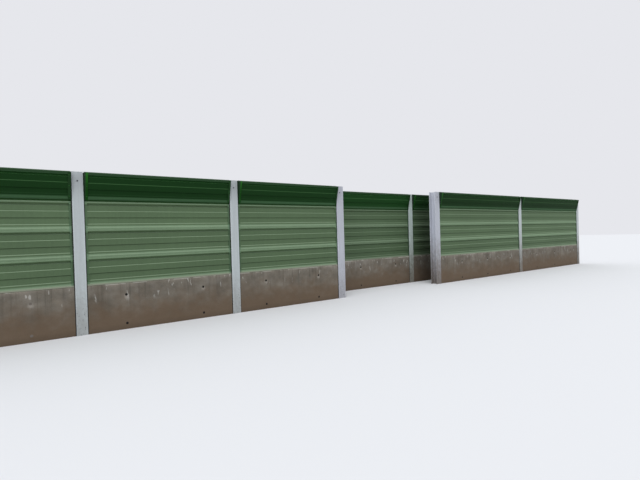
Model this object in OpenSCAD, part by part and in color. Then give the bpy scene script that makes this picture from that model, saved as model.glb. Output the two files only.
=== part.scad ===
// Noise barrier: steel H-posts, concrete plinths and stacked absorbing cassettes.
// Two front lines leave a niche between them, and a set-back screen overlaps both behind it.
// X runs along the barrier, -Y is its front and Z is up. The origin lies on the foot of the
// third post of line A.

/* [Layout] */
// Post spacing in line A, the near line
bay_a = 3000; // [2400:50:4000]
// Post spacing in line C, the far line
bay_c = 5000; // [3000:50:6000]
// Post spacing across the niche, last post of line A to first post of line C
niche_w = 3970; // [3000:10:5000]
// How far line B, behind the niche, is set back
setback = 950; // [700:10:1400]
// Long bay of line B
bay_b1 = 5000; // [4400:50:6000]
// Short bay of line B
bay_b2 = 2000; // [1200:50:4000]
// How far the middle post of line B stands before the first post of line C
mid_post_lead = 160; // [0:10:400]

/* [Posts] */
// How far every post rises above the straight cassettes
post_rise = 520; // [500:5:600]
// Depth of a light post, face to face
post_d = 180; // [176:2:220]
// Width of a light post's flanges
flange_w = 180; // [140:5:220]
// Thickness of a light post's flanges
flange_t = 14; // [9:0.5:16]
// Thickness of a light post's web
web_t = 8.5; // [6:0.5:12]
// Rolled fillet between a light post's web and flange
root_r = 15; // [8:1:18]

/* [Heavy posts at the niche's two corners] */
// Depth of a heavy post, face to face
heavy_d = 220; // [190:2:260]
// Width of a heavy post's flanges
heavy_w = 220; // [180:5:260]
// Thickness of a heavy post's flanges
heavy_flange_t = 16; // [9:0.5:18]
// Thickness of a heavy post's web
heavy_web_t = 9.5; // [6:0.5:12]
// Rolled fillet between a heavy post's web and flange
heavy_root_r = 18; // [8:1:20]

/* [Plinth] */
// Height of the concrete plinth
plinth_h = 860; // [600:10:900]
// Thickness of the plinth
plinth_t = 120; // [100:5:124]
// Bevel on the plinth's long upper edges
plinth_bevel = 12; // [5:1:20]

/* [Cassette] */
// Height of one cassette
cassette_h = 500; // [450:10:520]
// Thickness of one cassette
cassette_t = 125; // [115:1:130]
// How far the plain sleeve at a cassette's end shows beside the flange
sleeve_show = 50; // [30:1:80]
// Play between a cassette's end and the post's web
end_play = 12; // [5:1:20]
// Bevel where a cassette meets its neighbour
joint_bevel = 4; // [2:0.5:6]
// Width of the tongue on a cassette's top
tongue_w = 40; // [30:1:50]
// Height of the tongue
tongue_h = 12; // [8:1:15]
// Clearance of the tongue in its groove
tongue_play = 2; // [1:0.5:3]

/* [Cassette face] */
// Upper lip, which stands proud
lip_h = 32; // [20:1:40]
// Slope under the upper lip
lip_slope = 14; // [8:1:24]
// Shadow groove under that slope
groove_h = 26; // [20:1:40]
// Depth of the shadow groove
groove_d = 28; // [15:1:34]
// Slope at the groove's lower edge
groove_slope = 4; // [2:1:10]
// Upper pan
pan_h = 96; // [80:1:110]
// Depth of the upper pan
pan_d = 12; // [8:1:14]
// Slope from the upper pan to the rib
rib_slope = 10; // [5:1:15]
// Middle rib
rib_h = 105; // [80:1:110]
// Depth of the middle rib
rib_d = 2; // [1:0.5:4]
// Slope under the rib
undercut_h = 12; // [3:1:16]
// Depth of the lower pan
low_pan_d = 14; // [8:1:16]
// Slope from the lower pan to the ledge
ledge_slope = 14; // [6:1:18]
// Ledge over the foot lip
ledge_h = 44; // [25:1:52]
// Depth of the ledge
ledge_d = 8; // [4:1:8]
// Slope from the ledge to the foot lip
foot_slope = 20; // [10:1:24]
// Foot lip, which stands proud
foot_lip_h = 28; // [18:1:34]
// Depth of the two channels pressed in the back
back_d = 8; // [4:1:10]
// Height of each channel in the back
back_h = 90; // [60:5:110]
// Slope of the channel's edges
back_slope = 8; // [4:1:12]

/* [Leaning top cassette] */
// Forward lean, in degrees
lean = 13.5; // [0:0.5:16]
// Height of the top cassette along its slope
top_h = 484; // [450:2:500]
// Thickness of the top cassette
top_t = 110; // [100:1:125]
// Upper lip of the top cassette
top_lip_h = 44; // [30:1:56]
// Shadow joint under the top cassette's front edge
top_joint = 26; // [8:1:32]
// Gap between the top cassette's end and the post's flange
top_gap = 30; // [22:1:50]
// Sheet thickness of the end caps
cap_t = 3; // [2:0.5:5]
// Length of an end cap's legs along the face
cap_leg = 36; // [30:1:60]
// Thickness of the bracket's cheek
cheek_t = 9; // [6:1:12]
// How far the bracket's top stays under the post's top
bracket_drop = 20; // [10:1:40]
// Set-back of the wedge sill behind the front edge
sill_setback = 25; // [10:1:35]

/* [Seals] */
// Thickness of the rubber strip behind the front flange
front_seal_t = 2; // [1:0.5:4]
// Width of both rubber strips
seal_w = 50; // [30:1:60]
// How far the front strip shows beside the flange
seal_lip = 14; // [0:1:16]

/* [Hidden] */
$fn = 48;
// Overlap that keeps a cut from ending on a face
eps = 1;

// Rolled sections: depth, width, flange, web and fillet
light_section = [post_d, flange_w, flange_t, web_t, root_r];
heavy_section = [heavy_d, heavy_w, heavy_flange_t, heavy_web_t, heavy_root_r];
// Half of the depth between a section's flanges
function inner(section) = section[0] / 2 - section[2];
// Half of its width
function half_w(section) = section[1] / 2;
// From its middle to the end of what stands in its slot
function slot_end(section) = section[3] / 2 + end_play;
// Length of the sleeve on a cassette's end in its slot
function sleeve_l(section) = half_w(section) + sleeve_show - slot_end(section);
// From its middle to the end of a top cassette
function top_end(section) = half_w(section) + top_gap;

// Each line's posts, as place along X and section, and its place across the barrier
line_a = [
    [-2 * bay_a, light_section],
    [-bay_a, light_section],
    [0, light_section],
    [bay_a, heavy_section]
];
c_start = bay_a + niche_w;
line_c = [
    [c_start, heavy_section],
    [c_start + bay_c, light_section],
    [c_start + 2 * bay_c, light_section]
];
b_mid = c_start - mid_post_lead;
line_b = [for (x = [b_mid - bay_b1, b_mid, b_mid + bay_b2]) [x, light_section]];
front_y = 0;
back_y = setback;

// Places across a line, from the middle of a light post. Front flanges have their inner faces in line
inner_y = -inner(light_section);
face_y = inner_y + front_seal_t;
cassette_back = face_y + cassette_t;
plinth_back = face_y + plinth_t;

// Heights
seat_z = plinth_h;
top_seat_z = plinth_h + 3 * cassette_h;
post_h = top_seat_z + post_rise;
bracket_z = post_h - bracket_drop;
stack_z = [seat_z, seat_z + cassette_h, seat_z + 2 * cassette_h];

// Top cassette's front lower edge, flush with the flange
lean_y = -post_d / 2;
lean_z = top_seat_z + top_joint;
tongue_y = cassette_t / 2;
top_tongue_y = top_t / 2;

// Draws a section lying in depth and height, and carries it along X
module along_x(x0, length) {
    translate([x0, 0, 0])
        rotate([90, 0, 90])
            linear_extrude(height = length)
                children();
}

// Front outline of a cassette from its foot up: depth behind the proud face, and height
function face_points(h, lip) =
    let (
        low_pan_z = foot_lip_h + foot_slope + ledge_h + ledge_slope,
        groove_z = h - lip - lip_slope - groove_h,
        rib_z = groove_z - pan_h - rib_slope - rib_h
    ) [
        [joint_bevel, 0],
        [0, joint_bevel],
        [0, foot_lip_h],
        [ledge_d, foot_lip_h + foot_slope],
        [ledge_d, foot_lip_h + foot_slope + ledge_h],
        [low_pan_d, low_pan_z],
        [low_pan_d, rib_z - undercut_h],
        [rib_d, rib_z],
        [rib_d, rib_z + rib_h],
        [pan_d, rib_z + rib_h + rib_slope],
        [pan_d, groove_z],
        [groove_d, groove_z + groove_slope],
        [groove_d, groove_z + groove_h],
        [0, h - lip],
        [0, h - joint_bevel],
        [joint_bevel, h]
    ];

// Back outline from the top down, with two pressed channels
function back_points(h, t) = [
    [t - joint_bevel, h],
    [t, h - joint_bevel],
    for (z = [h * 2 / 3, h / 3]) each [
        [t, z + back_h / 2],
        [t - back_d, z + back_h / 2 - back_slope],
        [t - back_d, z - back_h / 2 + back_slope],
        [t, z - back_h / 2]
    ],
    [t, joint_bevel],
    [t - joint_bevel, 0]
];

// Plain outline of a sleeve, which fills the face's ribs at a cassette's end
function sleeve_points(h, t) = [
    [joint_bevel, 0],
    [0, joint_bevel],
    [0, h - joint_bevel],
    [joint_bevel, h],
    [t - joint_bevel, h],
    [t, h - joint_bevel],
    [t, joint_bevel],
    [t - joint_bevel, 0]
];

// Groove under a cassette or sill for the tongue below it
module groove_cut(y) {
    translate([y - tongue_w / 2 - tongue_play, -eps])
        square([tongue_w + 2 * tongue_play, tongue_h + tongue_play + eps]);
}

// Tongue on top of a cassette or sill
module tongue(y, z) {
    translate([y - tongue_w / 2, z - eps])
        square([tongue_w, tongue_h + eps]);
}

// One straight cassette with a sleeve at each end, its foot at z = 0 and its proud face at y = 0
module cassette(length, left_sleeve, right_sleeve) {
    difference() {
        union() {
            along_x(0, length)
                polygon(concat(face_points(cassette_h, lip_h), back_points(cassette_h, cassette_t)));
            along_x(0, left_sleeve)
                polygon(sleeve_points(cassette_h, cassette_t));
            along_x(length - right_sleeve, right_sleeve)
                polygon(sleeve_points(cassette_h, cassette_t));
            along_x(0, length)
                tongue(tongue_y, cassette_h);
        }
        along_x(-eps, length + 2 * eps)
            groove_cut(tongue_y);
    }
}

// Ends of bay i of a line, in the slots of its two posts
function bay_x(line, i) = [
    line[i - 1][0] + slot_end(line[i - 1][1]),
    line[i][0] - slot_end(line[i][1])
];

// Ends of the top cassette in bay i of a line
function top_x(line, i) = [
    line[i - 1][0] + top_end(line[i - 1][1]),
    line[i][0] - top_end(line[i][1])
];

// Row of cassettes in one line, at one height
module cassette_row(line, y, z) {
    for (i = [1 : len(line) - 1]) {
        ends = bay_x(line, i);
        translate([ends[0], y + face_y, z])
            cassette(ends[1] - ends[0], sleeve_l(line[i - 1][1]), sleeve_l(line[i][1]));
    }
}

// Rolled H-section, centred
module h_section(section) {
    width = section[1];
    web = section[3];
    fillet = section[4];
    difference() {
        square([width, section[0]], center = true);
        for (side = [-1, 1])
            translate([side * (web + width) / 2, 0])
                square([width, 2 * inner(section)], center = true);
    }
    for (sx = [-1, 1], sy = [-1, 1])
        scale([sx, sy])
            translate([web / 2, inner(section) - fillet])
                difference() {
                    square(fillet);
                    translate([fillet, 0])
                        circle(r = fillet);
                }
}

module post(line, i, y) {
    section = line[i][1];
    color("lightslategray")
        translate([line[i][0], y + inner_y + inner(section), 0])
            linear_extrude(height = post_h)
                h_section(section);
}

// Concrete slab between two posts, its long upper edges bevelled
module plinth(line, i, y) {
    ends = bay_x(line, i);
    color("dimgray")
        translate([0, y + face_y, 0])
            along_x(ends[0], ends[1] - ends[0])
                polygon([
                    [0, 0],
                    [0, plinth_h - plinth_bevel],
                    [plinth_bevel, plinth_h],
                    [plinth_t - plinth_bevel, plinth_h],
                    [plinth_t, plinth_h - plinth_bevel],
                    [plinth_t, 0]
                ]);
}

// Puts its children in the leaning frame, whose zero is the top cassette's front lower edge
module leaning(y) {
    translate([0, y + lean_y, lean_z])
        rotate([lean, 0, 0])
            children();
}

// Dark cassette that leans forward, with a groove for the sill's tongue
module top_cassette(line, i, y) {
    ends = top_x(line, i);
    length = ends[1] - ends[0];
    color("darkgreen")
        leaning(y)
            difference() {
                along_x(ends[0], length)
                    polygon(concat(face_points(top_h, top_lip_h), back_points(top_h, top_t)));
                along_x(ends[0] - eps, length + 2 * eps)
                    groove_cut(top_tongue_y);
            }
}

// Channel that closes one end of a top cassette; side is 1 at its left end and -1 at its right
module end_cap(x, side, y) {
    leaning(y)
        translate([x, 0, 0])
            scale([side, 1, 1])
                difference() {
                    along_x(-cap_t, cap_t + cap_leg)
                        translate([-cap_t, 0])
                            square([top_t + 2 * cap_t, top_h]);
                    along_x(0, cap_leg + eps)
                        translate([0, -eps])
                            square([top_t, top_h + 2 * eps]);
                }
}

module end_caps(line, y) {
    color("forestgreen")
        for (i = [1 : len(line) - 1]) {
            end_cap(top_x(line, i)[0], 1, y);
            end_cap(top_x(line, i)[1], -1, y);
        }
}

// A point of the leaning frame, as depth and height in the line's own frame
function leaned(d, s) = [
    lean_y + d * cos(lean) - s * sin(lean),
    lean_z + d * sin(lean) + s * cos(lean)
];

// Bracket: a block that stands in the post's slot and a cheek that reaches out to the end cap
module bracket(post_x, section, side, y) {
    reach = top_end(section) - cap_t;
    translate([post_x, y, 0])
        scale([side, 1, 1])
            difference() {
                union() {
                    along_x(slot_end(section), reach - slot_end(section))
                        translate([face_y, top_seat_z])
                            square([cassette_t, bracket_z - top_seat_z]);
                    along_x(reach - cheek_t, cheek_t)
                        polygon([
                            [face_y, top_seat_z],
                            leaned(-cap_t, 0),
                            leaned(-cap_t, top_h),
                            leaned(top_t + cap_t, top_h),
                            [cassette_back, bracket_z],
                            [cassette_back, top_seat_z]
                        ]);
                }
                along_x(0, top_end(section))
                    translate([face_y, top_seat_z])
                        groove_cut(tongue_y);
            }
}

module brackets(line, y) {
    color("green")
        for (i = [1 : len(line) - 1]) {
            bracket(line[i - 1][0], line[i - 1][1], 1, y);
            bracket(line[i][0], line[i][1], -1, y);
        }
}

// Outline of the wedge sill: grooved under, with a leaning tongue on its slope
function sill_points() =
    let (
        front = lean_y + sill_setback,
        groove_y = face_y + tongue_y,
        groove_half = tongue_w / 2 + tongue_play,
        groove_top = top_seat_z + tongue_h + tongue_play,
        back = leaned(top_t - joint_bevel, 0)
    ) [
        [front, top_seat_z],
        [front, lean_z + sill_setback * tan(lean)],
        leaned(top_tongue_y - tongue_w / 2, 0),
        leaned(top_tongue_y - tongue_w / 2, tongue_h),
        leaned(top_tongue_y + tongue_w / 2, tongue_h),
        leaned(top_tongue_y + tongue_w / 2, 0),
        back,
        [back[0], top_seat_z],
        [groove_y + groove_half, top_seat_z],
        [groove_y + groove_half, groove_top],
        [groove_y - groove_half, groove_top],
        [groove_y - groove_half, top_seat_z]
    ];

// Wedge-shaped sills that carry the top cassettes on the cassettes under them
module wedge_sills(line, y) {
    color("darkslategray")
        for (i = [1 : len(line) - 1])
            translate([0, y, 0])
                along_x(top_x(line, i)[0], top_x(line, i)[1] - top_x(line, i)[0])
                    polygon(sill_points());
}

// Rubber strips beside one post: thin ones in front, thick ones that wedge the panels from behind
module seal_pair(post_x, section, side, y) {
    seal_x = half_w(section) - seal_w;
    back_flange_y = inner_y + 2 * inner(section);
    translate([post_x, y, 0])
        scale([side, 1, 1]) {
            translate([seal_x + seal_lip, inner_y, 0])
                cube([seal_w, front_seal_t, top_seat_z]);
            translate([seal_x, cassette_back, seat_z])
                cube([seal_w, back_flange_y - cassette_back, bracket_z - seat_z]);
            translate([seal_x, plinth_back, 0])
                cube([seal_w, back_flange_y - plinth_back, seat_z - plinth_bevel]);
        }
}

module seals(line, y) {
    color("black")
        for (i = [1 : len(line) - 1]) {
            seal_pair(line[i - 1][0], line[i - 1][1], 1, y);
            seal_pair(line[i][0], line[i][1], -1, y);
        }
}

post(line_a, 0, front_y);  // post_a0
post(line_a, 1, front_y);  // post_a1
post(line_a, 2, front_y);  // post_a2
post(line_a, 3, front_y);  // post_a3
post(line_b, 0, back_y);  // post_b0
post(line_b, 1, back_y);  // post_b1
post(line_b, 2, back_y);  // post_b2
post(line_c, 0, front_y);  // post_c0
post(line_c, 1, front_y);  // post_c1
post(line_c, 2, front_y);  // post_c2

plinth(line_a, 1, front_y);  // plinth_a1
plinth(line_a, 2, front_y);  // plinth_a2
plinth(line_a, 3, front_y);  // plinth_a3
plinth(line_b, 1, back_y);  // plinth_b1
plinth(line_b, 2, back_y);  // plinth_b2
plinth(line_c, 1, front_y);  // plinth_c1
plinth(line_c, 2, front_y);  // plinth_c2

color("darkseagreen") cassette_row(line_a, front_y, stack_z[0]);  // low_cassettes_a
color("darkseagreen") cassette_row(line_a, front_y, stack_z[1]);  // middle_cassettes_a
color("darkseagreen") cassette_row(line_a, front_y, stack_z[2]);  // high_cassettes_a
color("darkseagreen") cassette_row(line_b, back_y, stack_z[0]);  // low_cassettes_b
color("darkseagreen") cassette_row(line_b, back_y, stack_z[1]);  // middle_cassettes_b
color("darkseagreen") cassette_row(line_b, back_y, stack_z[2]);  // high_cassettes_b
color("darkseagreen") cassette_row(line_c, front_y, stack_z[0]);  // low_cassettes_c
color("darkseagreen") cassette_row(line_c, front_y, stack_z[1]);  // middle_cassettes_c
color("darkseagreen") cassette_row(line_c, front_y, stack_z[2]);  // high_cassettes_c

top_cassette(line_a, 1, front_y);  // top_cassette_a1
top_cassette(line_a, 2, front_y);  // top_cassette_a2
top_cassette(line_a, 3, front_y);  // top_cassette_a3
top_cassette(line_b, 1, back_y);  // top_cassette_b1
top_cassette(line_b, 2, back_y);  // top_cassette_b2
top_cassette(line_c, 1, front_y);  // top_cassette_c1
top_cassette(line_c, 2, front_y);  // top_cassette_c2

end_caps(line_a, front_y);  // end_caps_a
end_caps(line_b, back_y);  // end_caps_b
end_caps(line_c, front_y);  // end_caps_c
brackets(line_a, front_y);  // brackets_a
brackets(line_b, back_y);  // brackets_b
brackets(line_c, front_y);  // brackets_c
wedge_sills(line_a, front_y);  // wedge_sills_a
wedge_sills(line_b, back_y);  // wedge_sills_b
wedge_sills(line_c, front_y);  // wedge_sills_c
seals(line_a, front_y);  // seals_a
seals(line_b, back_y);  // seals_b
seals(line_c, front_y);  // seals_c
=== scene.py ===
"""Looks of the noise barrier section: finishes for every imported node, its small fixings, and the stage."""
import math

import bpy
import numpy as np
from mathutils import Matrix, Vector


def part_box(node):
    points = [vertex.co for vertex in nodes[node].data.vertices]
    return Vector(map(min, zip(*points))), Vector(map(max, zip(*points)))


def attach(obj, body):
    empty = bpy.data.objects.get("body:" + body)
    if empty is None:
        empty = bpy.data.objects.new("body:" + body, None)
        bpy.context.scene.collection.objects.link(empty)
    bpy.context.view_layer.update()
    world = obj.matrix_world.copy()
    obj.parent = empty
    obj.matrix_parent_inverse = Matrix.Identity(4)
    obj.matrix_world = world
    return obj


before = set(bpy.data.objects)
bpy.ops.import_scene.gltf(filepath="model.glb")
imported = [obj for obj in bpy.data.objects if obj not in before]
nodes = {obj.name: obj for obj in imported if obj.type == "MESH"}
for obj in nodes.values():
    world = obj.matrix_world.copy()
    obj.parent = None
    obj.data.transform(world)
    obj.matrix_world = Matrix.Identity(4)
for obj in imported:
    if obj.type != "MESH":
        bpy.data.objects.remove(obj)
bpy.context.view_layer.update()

MM = 0.001

# The three lines of the barrier and the cassette rows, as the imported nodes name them. Line b is
# the one set back behind the niche
LINES = ("a", "b", "c")
ROWS = ("low", "middle", "high")


def named(opening):
    """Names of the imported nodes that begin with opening, in order."""
    return sorted(name for name in nodes if name.startswith(opening))


def corners(node):
    """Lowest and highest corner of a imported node, as arrays."""
    low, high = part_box(node)
    return np.array(low), np.array(high)


def middle_x(node):
    """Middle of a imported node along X."""
    return float(sum(corners(node))[0]) / 2


def half_width(node):
    """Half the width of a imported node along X."""
    low, high = corners(node)
    return float(high[0] - low[0]) / 2


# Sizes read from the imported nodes. The cassettes stand on the plinths' top, SEAT_Z, with their
# faces at FACE_Y. A line's bays are as wide as its first, and the short last bay of line b counts
# as a part of one
POSTS = {line: named(f"post_{line}") for line in LINES}
POST_X = {line: [middle_x(name) for name in POSTS[line]] for line in LINES}
POST_TOP = corners("post_a2")[1][2]
BAY = {line: POST_X[line][1] - POST_X[line][0] for line in LINES}
SEAT_Z = corners("plinth_a2")[1][2]
CASSETTE_H = corners("middle_cassettes_a")[0][2] - corners("low_cassettes_a")[0][2]
STACK_H = len(ROWS) * CASSETTE_H
FACE_Y = {line: corners(f"low_cassettes_{line}")[0][1] for line in LINES}

# Lean of the top cassettes, and a point of their front lower edge, which lies before the face of
# the cassettes below and over their stack
LEAN = math.radians(13.5)
LEAN_AHEAD = 16 * MM
TOP_JOINT = 26 * MM
LEANING_FOOT = {line: (0.0, FACE_Y[line] - LEAN_AHEAD, SEAT_Z + STACK_H + TOP_JOINT) for line in LINES}

# The perforated field of a cassette's face, from its foot up, straight and leaning, and how soft
# its edge is
FIELD_FOOT = 62 * MM
FIELD_HEAD = 478 * MM
LEANING_FIELD_HEAD = 444 * MM
FIELD_EDGE = 6 * MM

# Painted shade on the sheet reaches further on the left of a post, so distances from the post's middle are
# taken from this far left of it: where the painted shade thins out, and where the plain sleeve stops
SHADE_SHIFT = 8 * MM
SHADED_EDGE = (100 * MM, 122 * MM)
SLEEVE_EDGE = (142 * MM, 141 * MM)

# How far over the plinth splashed soil greys the sheet
SPLASH_ON_SHEET = 0.54
# Lime pales the sheet below the first of these heights over the plinth, and most below the second
LIMED_FOOT = (38 * MM, 18 * MM)
# Painted shade darkens the head under the leaning cassette, between these depths under the top of the stack
SHADED_HEAD_DEPTHS = (40 * MM, 25 * MM)

# Grouted form-tie holes in the plinths: from the bay's right-hand post, apart, the least distance
# to its left-hand post, and their two heights
PLUG_INSET = 0.75
PLUG_PITCH = 1.5
PLUG_LEAST = 0.6
PLUG_Z = (110 * MM, 645 * MM)

# Where the set-back line is painted darker towards the passage, as shade from line c, along X, and its tone
# there
PASSAGE_SHADE = (6.3, 7.6)
SHADE_ON_SHEET = 0.55
SHADE_ON_CONCRETE = 0.65

# Tone of a straight cassette over its height, as mm from its foot and the gain there: painted shade darkens
# the undercut below the rib, painted shade and dirt darken the groove below the head, the pan darkens
# towards its head, and a painted highlight lightens the head's down-facing slope
STRAIGHT_SHADE_DIRT_AND_HIGHLIGHT = [(0, 1.03), (27, 1.0), (32, 0.94), (46, 0.94), (54, 1.05), (106, 1.02), (200, 1.0),
                 (206, 0.82), (215, 0.82), (220, 1.0), (330, 0.96), (416, 0.95), (425, 0.8),
                 (448, 0.8), (455, 1.6), (467, 1.6), (472, 1.0), (500, 1.0)]
# The same up the slope of a leaning cassette: painted highlights on its light lines and lip, and darker at
# the very top
LEANING_TONE_AND_HIGHLIGHT = [(0, 0.95), (290, 1.05), (294, 1.35), (305, 1.35), (310, 1.08), (396, 1.1),
                (402, 1.8), (424, 1.8), (428, 1.9), (440, 1.7), (446, 0.7), (484, 0.7)]
# Tone of a plinth over its height: splashed soil below, and a painted highlight on its top edge
PLINTH_TONE_AND_HIGHLIGHT = [(0, 0.9), (480, 0.89), (600, 0.9), (700, 0.9), (770, 0.93), (810, 1.0),
               (835, 1.12), (860, 1.24)]

# Colours of each line's sheet on its plain lips and on its perforated field, straight and leaning.
# The straight sheet of the set-back line is duller
SHEET = {"a": ("#728A6D", "#576D50"), "b": ("#64795F", "#4E6348"), "c": ("#728A6D", "#576D50")}
LEANING_SHEET = {"a": ("#375739", "#143615"), "b": ("#375739", "#183F19"), "c": ("#375739", "#133213")}
# Lighter greens for what faces up: dust, and a painted highlight there
PALE_DUST_AND_HIGHLIGHT = "#8FA488"
DARK_DUST_AND_HIGHLIGHT = "#4A6A46"
# How much dust, with its painted highlight, lies on the straight sheet, how much lime pales its foot, and
# how dark the painted shade on its head is
SHEET_DUST_AND_HIGHLIGHT = {"a": 0.6, "b": 0.35, "c": 0.6}
SHEET_LIME = {"a": 0.5, "b": 0.4, "c": 0.4}
HEAD_SHADE = {"a": 0.86, "b": 1.0, "c": 0.95}

# Colour of the posts in each line, and of the broad ones at the niche's corners, which are bluer
POST_COAT = {"a": "#BAC2C5", "b": "#B3C0BD", "c": "#BAC2C4"}
CORNER_COAT = "#B9BDC7"
CORNER_POSTS = {"a": "post_a3", "c": "post_c0"}
# How high soil splashes on the posts, in metres, and how much of their coat it hides at the foot
SOIL = {"a": (1.35, 0.34), "b": (2.0, 0.8), "c": (2.0, 0.85)}

# How much lime shows on the plinths, and the tone of the dark runs on them
PLINTH_LIME = {"a": 0.5, "b": 0.85, "c": 0.5}
RUN_TONE = {"a": 0.76, "b": 0.88, "c": 0.76}


def linear(code):
    """Turns an sRGB hex code into a linear RGBA colour."""
    parts = [int(code[i:i + 2], 16) / 255 for i in (1, 3, 5)]
    return [c / 12.92 if c <= 0.04045 else ((c + 0.055) / 1.055) ** 2.4 for c in parts] + [1.0]


def add(tree, kind, inputs=(), out=None, stops=(), **settings):
    """Adds a shader node with its settings and links, and returns its output.

    inputs are values, hex colours or outputs to link, in the order of the sockets or by name. A
    MapRange takes a value, the two ends it comes from and the two it goes to, or 0 and 1.
    stops are a colour ramp's places, from 0 to 1, each with its grey level.
    """
    node = tree.nodes.new("ShaderNode" + kind)
    for name, value in settings.items():
        setattr(node, name, value)
    for place, _ in stops[1:-1]:
        node.color_ramp.elements.new(place)
    for point, (place, level) in zip(node.color_ramp.elements if stops else (), stops):
        point.position = place
        point.color = (level, level, level, 1.0)
    shown = [socket for socket in node.inputs if socket.enabled]
    by_key = inputs if isinstance(inputs, dict) else dict(enumerate(inputs))
    for key, value in by_key.items():
        socket = shown[key] if isinstance(key, int) else node.inputs[key]
        if isinstance(value, bpy.types.NodeSocket):
            tree.links.new(value, socket)
        else:
            socket.default_value = linear(value) if isinstance(value, str) else value
    if out:
        return node.outputs[out]
    return next((socket for socket in node.outputs if socket.enabled), None)


def start(name):
    """Starts a material: the material, its node tree and the place on the piece in metres."""
    made = bpy.data.materials.new(name)
    made.use_nodes = True
    tree = made.node_tree
    tree.nodes.clear()
    return made, tree, add(tree, "TexCoord", out="Object")


def close(tree, **sockets):
    """Ends a material with one Principled shader; sockets are its inputs, spaces as underscores."""
    named_inputs = {name.replace("_", " "): value for name, value in sockets.items()}
    shader = add(tree, "BsdfPrincipled", named_inputs)
    add(tree, "OutputMaterial", {"Surface": shader})


def clouds(tree, place, size, depth=3.0):
    """Cloudy pattern from 0 to 1, whose lumps measure size mm along X, Y and Z, or every way.

    depth is the number of finer clouds in it. The noise seldom leaves 0.3 to 0.7, which is spread.
    """
    lump = (np.full(3, size) * MM).tolist()
    scaled = add(tree, "VectorMath", [place, lump], operation="DIVIDE")
    cloud = add(tree, "TexNoise", {"Vector": scaled, "Scale": 1.0, "Detail": depth})
    return add(tree, "MapRange", [cloud, 0.3, 0.7])


def ragged(tree, place, measure, swing, size, depth=3.0):
    """A height or distance plus up to swing metres of cloud, so that an edge drawn by it is ragged."""
    return add(tree, "Math", [clouds(tree, place, size, depth), swing, measure],
               operation="MULTIPLY_ADD")


def toned(tree, colour, pattern, dark, light):
    """Colour times dark where the pattern is 0 and times light where it is 1."""
    gain = add(tree, "MapRange", [pattern, 0.0, 1.0, dark, light])
    return add(tree, "Mix", [1.0, colour, gain], data_type="RGBA", blend_type="MULTIPLY")


def toned_over(tree, colour, height, full, tones):
    """Colour times the gain that tones give for a height, as pairs of mm and gain up to full metres."""
    share = add(tree, "Math", [height, full], operation="DIVIDE")
    stops = [(level * MM / full, gain / 2) for level, gain in tones]
    return toned(tree, colour, add(tree, "ValToRGB", [share], stops=stops), 0.0, 2.0)


def dusted_and_highlighted(tree, colour, dust, least, most, amount):
    """Colour under dust and a painted highlight where the face looks up: none at a normal Z of least, amount
    at most.
    """
    normal = add(tree, "NewGeometry", out="Normal")
    up = add(tree, "SeparateXYZ", [normal], out="Z")
    lying = add(tree, "MapRange", [up, least, most, 0.0, amount], interpolation_type="SMOOTHSTEP")
    return add(tree, "Mix", [lying, colour, dust], data_type="RGBA")


def facing_along(tree):
    """Pattern that is 1 where a face looks along the barrier, to the left or right, and else 0."""
    normal = add(tree, "NewGeometry", out="Normal")
    sideways = add(tree, "Math", [add(tree, "SeparateXYZ", [normal], out="X")], operation="ABSOLUTE")
    return add(tree, "MapRange", [sideways, 0.6, 0.8])


def bay_share(tree, x, line):
    """How many bays a place lies past its line's first post: 0 at that post, 1 at the next."""
    along = add(tree, "Math", [x, POST_X[line][0]], operation="SUBTRACT")
    return add(tree, "Math", [along, BAY[line]], operation="DIVIDE")


def beside_post(tree, x, line, shift=0.0):
    """Distance along the barrier from the middle of the nearest post, or from shift metres left of it."""
    nearest = 100.0  # further than any post
    for post in POST_X[line]:
        aside = add(tree, "Math", [x, post - shift], operation="SUBTRACT")
        aside = add(tree, "Math", [aside], operation="ABSOLUTE")
        nearest = add(tree, "Math", [aside, nearest], operation="MINIMUM")
    return nearest


def beside_plugs(tree, x, line):
    """Distance along the barrier from the nearest column of plugs."""
    share = add(tree, "Math", [bay_share(tree, x, line)], operation="FRACT")
    column = (BAY[line] - PLUG_INSET) % PLUG_PITCH
    shifted = add(tree, "Math", [share, BAY[line], PLUG_PITCH / 2 - column], operation="MULTIPLY_ADD")
    aside = add(tree, "Math", [shifted, PLUG_PITCH], operation="FLOORED_MODULO")
    aside = add(tree, "Math", [aside, PLUG_PITCH / 2], operation="SUBTRACT")
    return add(tree, "Math", [aside], operation="ABSOLUTE")


def up_the_slope(tree, place, line):
    """Height of a place up the slope of a leaning cassette, from its front lower edge."""
    foot = add(tree, "VectorMath", [place, LEANING_FOOT[line]], operation="SUBTRACT")
    slope = (0.0, -math.sin(LEAN), math.cos(LEAN))
    return add(tree, "VectorMath", [foot, slope], out="Value", operation="DOT_PRODUCT")


def shaded_to_the_passage(tree, colour, x, tone):
    """Colour of the set-back line, with painted shade darkening it towards the passage behind line c."""
    damp = add(tree, "MapRange", [x, *PASSAGE_SHADE], interpolation_type="SMOOTHSTEP")
    return toned(tree, colour, damp, 1.0, tone)


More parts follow.
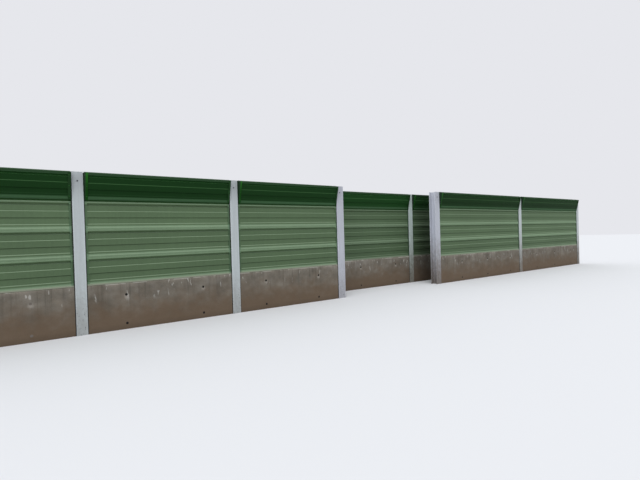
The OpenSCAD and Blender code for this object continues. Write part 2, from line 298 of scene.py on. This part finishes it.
def marked_by_the_stack(tree, colour, x, above, line):
    """Colour of straight cassettes with the marks that their place in the stack leaves.

    The plain sleeves on their ends are cooler in tone, and painted shade darkens the sheet beside the posts.
    Splashed soil greys the lowest row, and lime from the plinth pales its foot. Painted shade darkens the
    head of the highest row, under the leaning cassette.
    """
    beside = beside_post(tree, x, line, SHADE_SHIFT)
    sleeve = add(tree, "MapRange", [beside, *SLEEVE_EDGE])
    colour = add(tree, "Mix", [sleeve, colour, "#EAF4F6"], data_type="RGBA", blend_type="MULTIPLY")
    # Painted shade darkens the sheet beside the posts
    colour = toned(tree, colour, add(tree, "MapRange", [beside, *SHADED_EDGE]), 0.5, 1.0)
    colour = toned(tree, colour, add(tree, "MapRange", [above, 0.0, SPLASH_ON_SHEET]), 0.86, 1.0)
    lime = add(tree, "MapRange", [above, *LIMED_FOOT, 0.0, SHEET_LIME[line]])
    colour = add(tree, "Mix", [lime, colour, "#A8A297"], data_type="RGBA")
    # Painted shade on the head of the highest row, under the leaning cassette
    head = add(tree, "MapRange", [above, *(STACK_H - depth for depth in SHADED_HEAD_DEPTHS)])
    return toned(tree, colour, head, 1.0, HEAD_SHADE[line])


def coated_cassette_sheet(name, line, plain, field, dust, dusting_and_highlight, gloss, leaning=False):
    """Coil-coated aluminium sheet, roll-formed, with a perforated field between plain lips.

    The coat is dull from weather. Rain leaves faint vertical runs on it, dust with a painted highlight lies
    on what faces up, painted shade darkens the grooves, where dirt keeps too, the sheet beside the posts and
    the head under the leaning cassette, painted highlights lighten the head's slope and the leaning sheet's
    lip and light lines, and each cassette has its own coil's tone.
    """
    made, tree, place = start(name)
    x, _, z = add(tree, "SeparateXYZ", [place]).node.outputs
    above = add(tree, "Math", [z, SEAT_Z], operation="SUBTRACT")
    if leaning:
        height = up_the_slope(tree, place, line)
        row = 0.0
        head = LEANING_FIELD_HEAD
    else:
        height = add(tree, "Math", [above, CASSETTE_H], operation="FLOORED_MODULO")
        row = add(tree, "Math", [above, CASSETTE_H], operation="DIVIDE")
        row = add(tree, "Math", [row], operation="FLOOR")
        head = FIELD_HEAD

    # The holes, 5 mm wide and 9 mm apart, are too fine to show even in a near view: the field is
    # darker by their share, with a grain of 30 mm
    rise = add(tree, "MapRange", [height, FIELD_FOOT, FIELD_FOOT + FIELD_EDGE])
    fall = add(tree, "MapRange", [height, head, head - FIELD_EDGE])
    in_field = add(tree, "Math", [rise, fall], operation="MULTIPLY")
    colour = add(tree, "Mix", [in_field, plain, field], data_type="RGBA")
    colour = toned(tree, colour, clouds(tree, place, 30, 2.0), 0.97, 1.03)

    # Each cassette's own tone, from the numbers of its bay and row, and the unevenness of a coil
    bay = add(tree, "Math", [bay_share(tree, x, line)], operation="FLOOR")
    number = add(tree, "CombineXYZ", [bay, row, LINES.index(line) + 0.5])
    coil = add(tree, "TexWhiteNoise", [number], noise_dimensions="3D")
    colour = toned(tree, colour, coil, 0.95, 1.05)
    colour = toned(tree, colour, clouds(tree, place, (1600, 4000, 900), 2.0), 0.95, 1.05)

    # Runs of rain about 40 mm wide, then dust with a painted highlight, painted light and shade over the
    # height, and the marks of the stack with their painted shade
    runs = clouds(tree, place, (40, 40, 900), 5.0)
    colour = toned(tree, colour, runs, 0.96, 1.04)
    colour = dusted_and_highlighted(tree, colour, dust, 0.1, 0.5, dusting_and_highlight)
    # Painted shade in the undercut and the groove, where dirt keeps too, and painted highlights on the
    # head's slope and on the leaning sheet's lip and light lines
    colour = toned_over(tree, colour, height, CASSETTE_H, LEANING_TONE_AND_HIGHLIGHT if leaning else STRAIGHT_SHADE_DIRT_AND_HIGHLIGHT)
    if not leaning:
        colour = marked_by_the_stack(tree, colour, x, above, line)
    # The set-back line gets painted shade towards the passage
    if line == "b":
        colour = shaded_to_the_passage(tree, colour, x, SHADE_ON_SHEET)

    # Rolling leaves the sheet half a millimetre out of flat, in waves 450 mm long and 120 mm high
    rough = add(tree, "MapRange", [runs, 0.0, 1.0, 0.6, 0.72])
    waves = clouds(tree, place, (450, 450, 120), 1.0)
    normal = add(tree, "Bump", {"Height": waves, "Distance": 0.5 * MM, "Strength": 1.0})
    close(tree, Base_Color=colour, Roughness=rough, Specular_IOR_Level=gloss, Normal=normal)
    return made


def powder_coated_metal(name, code, dust):
    """Powder coat on folded aluminium sheet or on steel: smooth and dull, a little dusty on top, with a
    painted highlight there.
    """
    made, tree, place = start(name)
    colour = toned(tree, code, clouds(tree, place, (100, 100, 600)), 0.93, 1.07)
    colour = dusted_and_highlighted(tree, colour, dust, 0.3, 0.9, 0.5)
    close(tree, Base_Color=colour, Roughness=0.55, Specular_IOR_Level=0.2)
    return made


def end_cap_aluminium(name, line):
    """Folded and powder-coated aluminium of the caps on the leaning cassettes.

    The front leg at a bay's left end is painted bright green near the top alone, as painted light. The leg
    at the right end is painted dull, as painted shade, and the web beside the post is dark with dirt that no
    rain reaches.
    """
    made, tree, place = start(name)
    x, _, z = add(tree, "SeparateXYZ", [place]).node.outputs
    # Painted light makes the left leg brightest near the top, and painted shade dulls the right leg
    top = add(tree, "MapRange", [z, POST_TOP - 0.26, POST_TOP - 0.02])
    lit_left_leg = add(tree, "Mix", [top, "#10430E", "#2B6E24"], data_type="RGBA")
    # The left leg lies in the first tenth of a bay
    share = add(tree, "Math", [bay_share(tree, x, line)], operation="FRACT")
    right = add(tree, "Math", [share, 0.2], operation="GREATER_THAN")
    leg = add(tree, "Mix", [right, lit_left_leg, "#1F3F20"], data_type="RGBA")
    colour = add(tree, "Mix", [facing_along(tree), leg, "#122C12"], data_type="RGBA")
    colour = toned(tree, colour, clouds(tree, place, (100, 100, 250)), 0.9, 1.1)
    colour = dusted_and_highlighted(tree, colour, DARK_DUST_AND_HIGHLIGHT, 0.3, 0.9, 0.5)
    close(tree, Base_Color=colour, Roughness=0.55, Specular_IOR_Level=0.1)
    return made


def coated_galvanised_steel(name, code, line, half, soil_top, soil_amount):
    """Rolled steel of the posts, hot-dip galvanised and coated light grey; half is half their width.

    The coat is dull, with faint runs, dirt washed down from the top edge, and soil and specks
    splashed on the lower half. A painted highlight lightens the long edges of the flanges.
    The web and the flanges' edges look along the barrier and are painted paler, as painted light.
    """
    made, tree, place = start(name)
    x, _, z = add(tree, "SeparateXYZ", [place]).node.outputs
    # Faint runs of 50 mm, a fine mottle, and a painted highlight on the flanges' edges
    colour = toned(tree, code, clouds(tree, place, (50, 50, 800), 4.0), 0.95, 1.05)
    colour = toned(tree, colour, clouds(tree, place, 20, 2.0), 0.97, 1.03)
    edge = add(tree, "MapRange", [beside_post(tree, x, line), half - 25 * MM, half - 10 * MM])
    colour = toned(tree, colour, edge, 0.98, 1.08)
    # Dirt washed down from the top edge, to a ragged foot
    level = ragged(tree, place, z, 0.3, (30, 30, 300))
    washed = add(tree, "MapRange", [level, POST_TOP - 0.6, POST_TOP + 0.2, 0.0, 0.22],
                 interpolation_type="SMOOTHSTEP")
    colour = add(tree, "Mix", [washed, colour, "#9C9CA3"], data_type="RGBA")
    # Painted light: faces that look along the barrier, the web and the flanges' edges, are paler
    colour = toned(tree, colour, facing_along(tree), 1.0, 1.25)

    # Soil splashed up from the ground, to a ragged edge
    level = ragged(tree, place, z, 0.5, (60, 60, 120), 5.0)
    soiled = add(tree, "MapRange", [level, soil_top, 0.2, 0.0, soil_amount],
                 interpolation_type="SMOOTHSTEP")
    colour = add(tree, "Mix", [soiled, colour, "#665A4D"], data_type="RGBA")
    # Dark specks thicken from 1 m downwards, as the cores of lumps of 30 mm, so that they show
    specks = add(tree, "MapRange", [clouds(tree, place, (30, 30, 35), 2.0), 0.76, 0.96])
    lower = add(tree, "MapRange", [z, 1.0, 0.15])
    colour = toned(tree, colour, add(tree, "Math", [specks, lower], operation="MULTIPLY"), 1.0, 0.4)
    # Grain of the zinc under the coat, 4 mm wide
    grain = clouds(tree, place, 4, 2.0)
    normal = add(tree, "Bump", {"Height": grain, "Distance": 0.05 * MM, "Strength": 1.0})
    close(tree, Base_Color=colour, Roughness=0.55, Specular_IOR_Level=0.3, Normal=normal)
    return made


def limed(tree, colour, place, x, z, line, amount):
    """Colour of a plinth with the lime that water has brought out of the concrete.

    A soft veil with a few crisp white drips lies under the top edge, lime has run out of the
    upper plugs, and it crusts the top edge in lengths of about a forearm.
    """
    upper = add(tree, "MapRange", [z, SEAT_Z - 0.7, SEAT_Z], interpolation_type="SMOOTHSTEP")
    veil = add(tree, "MapRange", [clouds(tree, place, (200, 200, 300), 4.0), 0.5, 1.0, 0.0, 0.3 * amount],
               interpolation_type="SMOOTHSTEP")
    veil = add(tree, "Math", [veil, upper], operation="MULTIPLY")
    colour = add(tree, "Mix", [veil, colour, "#9F9D98"], data_type="RGBA")
    highest = add(tree, "MapRange", [z, SEAT_Z - 0.36, SEAT_Z - 0.24])
    drips = add(tree, "MapRange", [clouds(tree, place, (50, 50, 200), 3.0), 0.89, 0.96, 0.0, amount])
    drips = add(tree, "Math", [drips, highest], operation="MULTIPLY")
    colour = add(tree, "Mix", [drips, colour, "#C6C5C0"], data_type="RGBA")

    # Runs of the plugs, about 80 mm wide and as deep below them
    below = add(tree, "Math", [z, PLUG_Z[1] - 35 * MM], operation="SUBTRACT")
    around = add(tree, "CombineXYZ", [beside_plugs(tree, x, line), 0.0, below])
    distance = add(tree, "VectorMath", [around], out="Value", operation="LENGTH")
    distance = ragged(tree, place, distance, 30 * MM, 40)
    run = add(tree, "MapRange", [distance, 70 * MM, 35 * MM, 0.0, 0.5])
    colour = add(tree, "Mix", [run, colour, "#B0ABA3"], data_type="RGBA")

    edge = add(tree, "MapRange", [z, SEAT_Z - 22 * MM, SEAT_Z - 8 * MM])
    crust = add(tree, "MapRange", [clouds(tree, place, (300, 300, 100), 5.0), 0.5, 0.65, 0.0, amount],
                interpolation_type="SMOOTHSTEP")
    crust = add(tree, "Math", [crust, edge], operation="MULTIPLY")
    return add(tree, "Mix", [crust, colour, "#C4C4BA"], data_type="RGBA")


def precast_concrete(name, line, lime_amount, run_tone):
    """Precast concrete cast flat against a steel form, years old.

    It is cloudy grey above and browner below, speckled with sand, with a top edge painted pale as a painted
    highlight, dark runs from it, lime bloom, open pores, and a damp, soiled foot.
    """
    made, tree, place = start(name)
    x, _, z = add(tree, "SeparateXYZ", [place]).node.outputs
    # Broad clouds of half a metre, and blotches of 130 mm
    colour = add(tree, "Mix", [clouds(tree, place, (500, 500, 350), 5.0), "#847E74", "#6B655B"],
                 data_type="RGBA")
    colour = toned(tree, colour, clouds(tree, place, (130, 130, 120), 5.0), 0.84, 1.14)
    # Sand of 1 to 4 mm, drawn in lumps of 12 mm so that it shows
    colour = toned(tree, colour, clouds(tree, place, 12), 0.9, 1.08)
    # Splashed soil below, and a painted highlight on the top edge
    colour = toned_over(tree, colour, z, SEAT_Z, PLINTH_TONE_AND_HIGHLIGHT)

    # Dark runs start at the top edge and fade downwards
    upper = add(tree, "MapRange", [z, SEAT_Z - 0.7, SEAT_Z], interpolation_type="SMOOTHSTEP")
    streaks = add(tree, "MapRange", [clouds(tree, place, (45, 45, 1600), 4.0), 0.55, 0.9],
                  interpolation_type="SMOOTHSTEP")
    runs = add(tree, "Math", [streaks, upper], operation="MULTIPLY")
    colour = toned(tree, colour, runs, 1.0, run_tone)
    colour = limed(tree, colour, place, x, z, line, lime_amount)

    # The foot is damp and soiled, to a ragged edge
    level = ragged(tree, place, z, 0.25, (200, 200, 150), 4.0)
    foot = add(tree, "MapRange", [level, 0.92, 0.27, 0.0, 0.85], interpolation_type="SMOOTHSTEP")
    colour = add(tree, "Mix", [foot, colour, "#675645"], data_type="RGBA")
    colour = toned(tree, colour, add(tree, "MapRange", [z, 0.0, 0.12]), 0.8, 1.0)
    # The set-back line gets painted shade towards the passage
    if line == "b":
        colour = shaded_to_the_passage(tree, colour, x, SHADE_ON_CONCRETE)

    # Open pores, about 26 mm apart and drawn 5 mm wide so that they show
    apart = add(tree, "TexVoronoi", {"Vector": place, "Scale": 1 / (26 * MM)}, out="Distance")
    pore = add(tree, "MapRange", [apart, 0.14, 0.06], interpolation_type="SMOOTHSTEP")
    colour = toned(tree, colour, pore, 1.0, 0.5)
    relief = add(tree, "Math", [clouds(tree, place, 20, 5.0), pore], operation="SUBTRACT")
    normal = add(tree, "Bump", {"Height": relief, "Distance": 1.0 * MM, "Strength": 1.0})
    close(tree, Base_Color=colour, Roughness=0.9, Specular_IOR_Level=0.3, Normal=normal)
    return made


def extruded_rubber(name):
    """Extruded EPDM rubber: matt and nearly black, greyed by dust."""
    made, tree, place = start(name)
    colour = toned(tree, "#1E1E1D", clouds(tree, place, (20, 20, 300)), 0.8, 1.3)
    close(tree, Base_Color=colour, Roughness=0.85, Specular_IOR_Level=0.3)
    return made


def zinc_plated_steel(name):
    """Zinc-plated steel, passivated and weathered to a dull grey metal with cloudy white rust."""
    made, tree, place = start(name)
    bloom = clouds(tree, place, 8)
    colour = add(tree, "Mix", [bloom, "#4C4C52", "#74747A"], data_type="RGBA")
    rough = add(tree, "MapRange", [bloom, 0.0, 1.0, 0.45, 0.65])
    close(tree, Base_Color=colour, Metallic=0.7, Roughness=rough)
    return made


def cement_grout(name, code):
    """Cement grout smoothed into the form-tie holes of a plinth: finer than the slab."""
    made, tree, place = start(name)
    colour = toned(tree, code, clouds(tree, place, 15, 4.0), 0.8, 1.2)
    close(tree, Base_Color=colour, Roughness=0.9, Specular_IOR_Level=0.3)
    return made


def dress(names, finish):
    """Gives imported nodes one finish, on the slots of their objects."""
    for name in names:
        for slot in nodes[name].material_slots:
            slot.material = finish


# Finishes that every line shares, then each line's own
bracket_coat = powder_coated_metal("green_coated_steel_plate", "#17331A", DARK_DUST_AND_HIGHLIGHT)
sill_coat = powder_coated_metal("dark_coated_aluminium_sill", "#1E4817", DARK_DUST_AND_HIGHLIGHT)
rubber = extruded_rubber("extruded_epdm_rubber")
zinc = zinc_plated_steel("zinc_plated_steel")
dark_grout = cement_grout("dark_cement_grout", "#1C1917")
pale_grout = cement_grout("pale_cement_grout", "#6F6962")
screw_coat = powder_coated_metal("green_coated_screw_steel", "#2A6A28", DARK_DUST_AND_HIGHLIGHT)

for line in LINES:
    pale = coated_cassette_sheet(f"pale_green_coil_coated_aluminium_{line}", line, *SHEET[line],
                                 PALE_DUST_AND_HIGHLIGHT, dusting_and_highlight=SHEET_DUST_AND_HIGHLIGHT[line], gloss=0.2)
    dark = coated_cassette_sheet(f"dark_green_coil_coated_aluminium_{line}", line, *LEANING_SHEET[line],
                                 DARK_DUST_AND_HIGHLIGHT, dusting_and_highlight=0.3, gloss=0.1, leaning=True)
    cap_coat = end_cap_aluminium(f"bright_green_powder_coated_aluminium_{line}", line)
    post_coat = coated_galvanised_steel(f"coated_galvanised_steel_{line}", POST_COAT[line], line,
                                        half_width(POSTS[line][1]), *SOIL[line])
    concrete = precast_concrete(f"precast_concrete_{line}", line, PLINTH_LIME[line], RUN_TONE[line])
    dress(named(f"post_{line}"), post_coat)
    dress(named(f"plinth_{line}"), concrete)
    dress([f"{row}_cassettes_{line}" for row in ROWS], pale)
    dress(named(f"top_cassette_{line}"), dark)
    dress([f"end_caps_{line}"], cap_coat)
    dress([f"brackets_{line}"], bracket_coat)
    dress([f"wedge_sills_{line}"], sill_coat)
    dress([f"seals_{line}"], rubber)

for line, post in CORNER_POSTS.items():
    corner_coat = coated_galvanised_steel(f"coated_galvanised_steel_corner_{line}", CORNER_COAT, line,
                                          half_width(post), *SOIL[line])
    dress([post], corner_coat)


def make_piece(name, points, faces, finish):
    """Makes a mesh object in the shared frame from points and faces, and lets it ride."""
    mesh = bpy.data.meshes.new(name)
    mesh.from_pydata(points.tolist(), [], faces)
    mesh.update()
    mesh.materials.append(finish)
    made = bpy.data.objects.new(name, mesh)
    bpy.context.scene.collection.objects.link(made)
    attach(made, "root")


def fastener_heads(name, places, outward, profile, finish):
    """Many small heads of one shape, joined in one mesh.

    A point of a head lies at its place, plus a radius times the cosine and sine of the turn along
    two directions square to outward, plus the profile's rise along outward. The radius is the
    profile's own where its ring is round; where it is hexagonal, the cosine of 30 degrees divided
    by the cosine of the turn from the middle of the nearest flat cuts it down to the six flats.
    Places are rows of X, Y and Z. The profile lists radius, rise and hexagonal or not, in mm, from
    the foot's ring to the crown's.
    """
    sides = 24
    outward = np.array(outward) / np.linalg.norm(outward)
    across = np.cross(outward, [0.0, 0.0, 1.0])
    across /= np.linalg.norm(across)
    upward = np.cross(across, outward)
    turn = np.linspace(0, 2 * np.pi, sides, endpoint=False)
    flats = np.cos(np.pi / 6) / np.cos(turn % (np.pi / 3) - np.pi / 6)
    radius, rise, hexagonal = (np.array(profile, float) * [MM, MM, 1]).T[..., None]
    reach = radius * np.where(hexagonal > 0, flats, 1.0)
    head = (reach * np.cos(turn))[..., None] * across + (reach * np.sin(turn))[..., None] * upward
    head = head + (rise * np.ones(sides))[..., None] * outward
    points = np.array(places)[:, None, None] + head

    grid = np.arange(points[..., 0].size).reshape(points.shape[:3])
    after = np.roll(grid, -1, axis=2)
    walls = np.stack([grid[:, :-1], after[:, :-1], after[:, 1:], grid[:, 1:]], -1).reshape(-1, 4)
    faces = walls.tolist() + grid[:, -1].tolist() + grid[:, 0, ::-1].tolist()
    make_piece(name, points.reshape(-1, 3), faces, finish)


def post_bolts():
    """A flanged hexagon bolt in the middle of each post's front flange, below the post's top."""
    drop = 160 * MM
    # The flange with its bevel, then the hexagon with its chamfer
    shape = [(14, 0, 0), (14, 2, 0), (11.5, 3.5, 0), (11.5, 3.5, 1), (11.5, 9, 1), (10, 10.5, 1)]
    for line in LINES:
        places = [(x, corners(post)[0][1], POST_TOP - drop) for x, post in zip(POST_X[line], POSTS[line])]
        fastener_heads(f"post_bolts_{line}", places, (0, -1, 0), shape, zinc)


def cap_screws():
    """Three self-drilling screws with washer heads up the front leg of each end cap.

    A screw's height up the slope moves it forward by the lean's sine and up by its cosine; the
    cap's thickness puts it square to the slope before the cassette's face.
    """
    up_slope = (60 * MM, 242 * MM, 430 * MM)
    aside = 18 * MM
    cap_t = 3 * MM
    # The washer with its bevel, then the hexagon with its chamfer
    shape = [(7.5, 0, 0), (7.5, 1.2, 0), (5, 1.8, 0), (5, 1.8, 1), (5, 5, 1), (4.2, 5.8, 1)]
    lean_sin, lean_cos = math.sin(LEAN), math.cos(LEAN)
    for line in LINES:
        _, foot_y, foot_z = LEANING_FOOT[line]
        tops = [corners(name) for name in named(f"top_cassette_{line}")]
        ends = [x for low, high in tops for x in (low[0] + aside, high[0] - aside)]
        places = [(x, foot_y - up * lean_sin - cap_t * lean_cos, foot_z + up * lean_cos - cap_t * lean_sin)
                  for x in ends for up in up_slope]
        fastener_heads(f"cap_screws_{line}", places, (0, -lean_cos, -lean_sin), shape, screw_coat)


def plinth_plugs():
    """Grouted form-tie holes in two rows on the plinths; those of the first bay have paler grout."""
    # A thin round rim with a slightly hollow middle
    shape = [(24, 0, 0), (23, 1, 0), (17, 0.6, 0)]
    for line in LINES:
        front = corners(f"plinth_{line}1")[0][1]
        for i, (left, right) in enumerate(zip(POST_X[line], POST_X[line][1:]), 1):
            columns = np.arange(right - PLUG_INSET, left + PLUG_LEAST, -PLUG_PITCH)
            places = [(x, front, level) for x in columns for level in PLUG_Z]
            grout = pale_grout if (line, i) == ("a", 1) else dark_grout
            fastener_heads(f"plinth_plugs_{line}{i}", places, (0, -1, 0), shape, grout)


post_bolts()
cap_screws()
plinth_plugs()


def seen_directly(tree):
    """Pattern that is 1 for a ray from the camera, off gloss or through glass, and else 0."""
    path = add(tree, "LightPath").node.outputs
    seen = add(tree, "Math", [path["Is Camera Ray"], path["Is Glossy Ray"]], operation="MAXIMUM")
    return add(tree, "Math", [seen, path["Is Transmission Ray"]], operation="MAXIMUM")


def stage():
    """Floor disc, world and lamp: a pale floor, an overcast sky and one soft lamp."""
    made, tree, _ = start("pale_floor")
    # Lamps find the floor darker than the camera does, so that it throws little light up
    colour = add(tree, "Mix", [seen_directly(tree), "#8C8A86", "#D9DADC"], data_type="RGBA")
    add(tree, "OutputMaterial", {"Surface": add(tree, "BsdfDiffuse", {"Color": colour})})

    # A disc round the barrier's middle, wide enough to end far behind it
    reach = 90.0
    middle = 5.0
    turn = np.linspace(0, 2 * np.pi, 64, endpoint=False)
    rim = np.stack([reach * np.cos(turn) + middle, reach * np.sin(turn), 0 * turn], 1)
    mesh = bpy.data.meshes.new("floor")
    mesh.from_pydata(rim.tolist(), [], [list(range(len(turn)))])
    mesh.materials.append(made)
    floor = bpy.data.objects.new("floor", mesh)
    bpy.context.scene.collection.objects.link(floor)

    world = bpy.data.worlds.new("overcast")
    world.use_nodes = True
    tree = world.node_tree
    tree.nodes.clear()
    light = add(tree, "Background", {"Color": "#F4F6FA", "Strength": 1.05})
    backdrop = add(tree, "Background", {"Color": "#E6E7EC", "Strength": 1.0})
    add(tree, "OutputWorld", {"Surface": add(tree, "MixShader", [seen_directly(tree), light, backdrop])})
    bpy.context.scene.world = world

    sun = bpy.data.lights.new("soft_sky", "SUN")
    sun.energy = 1.3
    sun.angle = math.radians(60)
    lamp = bpy.data.objects.new("soft_sky", sun)
    lamp.rotation_euler = (math.radians(46), 0.0, math.radians(-45))
    bpy.context.scene.collection.objects.link(lamp)


def camera():
    """Camera of the photograph, worked out from the posts: eye, turn, tilt and roll in degrees."""
    eye = (-4.3761, -8.8117, 1.662)
    turn, tilt, roll = (math.radians(angle) for angle in (37.507, 0.749, -1.634))
    lens, sensor = 24.875, 36.0  # in mm
    level_ahead = np.array([math.sin(turn), math.cos(turn), 0.0])
    level_right = np.array([math.cos(turn), -math.sin(turn), 0.0])
    plumb = np.array([0.0, 0.0, 1.0])
    ahead = math.cos(tilt) * level_ahead - math.sin(tilt) * plumb
    square = math.sin(tilt) * level_ahead + math.cos(tilt) * plumb
    right = math.cos(roll) * level_right + math.sin(roll) * square
    up = -math.sin(roll) * level_right + math.cos(roll) * square
    made = bpy.data.cameras.new("camera")
    made.lens = lens
    made.sensor_width = sensor
    made.clip_end = 300.0
    holder = bpy.data.objects.new("camera", made)
    turned = Matrix(np.stack([right, up, -ahead], 1).tolist())
    holder.matrix_world = Matrix.Translation(eye) @ turned.to_4x4()
    bpy.context.scene.collection.objects.link(holder)
    bpy.context.scene.camera = holder


stage()
camera()
bpy.context.scene.view_settings.view_transform = "Standard"
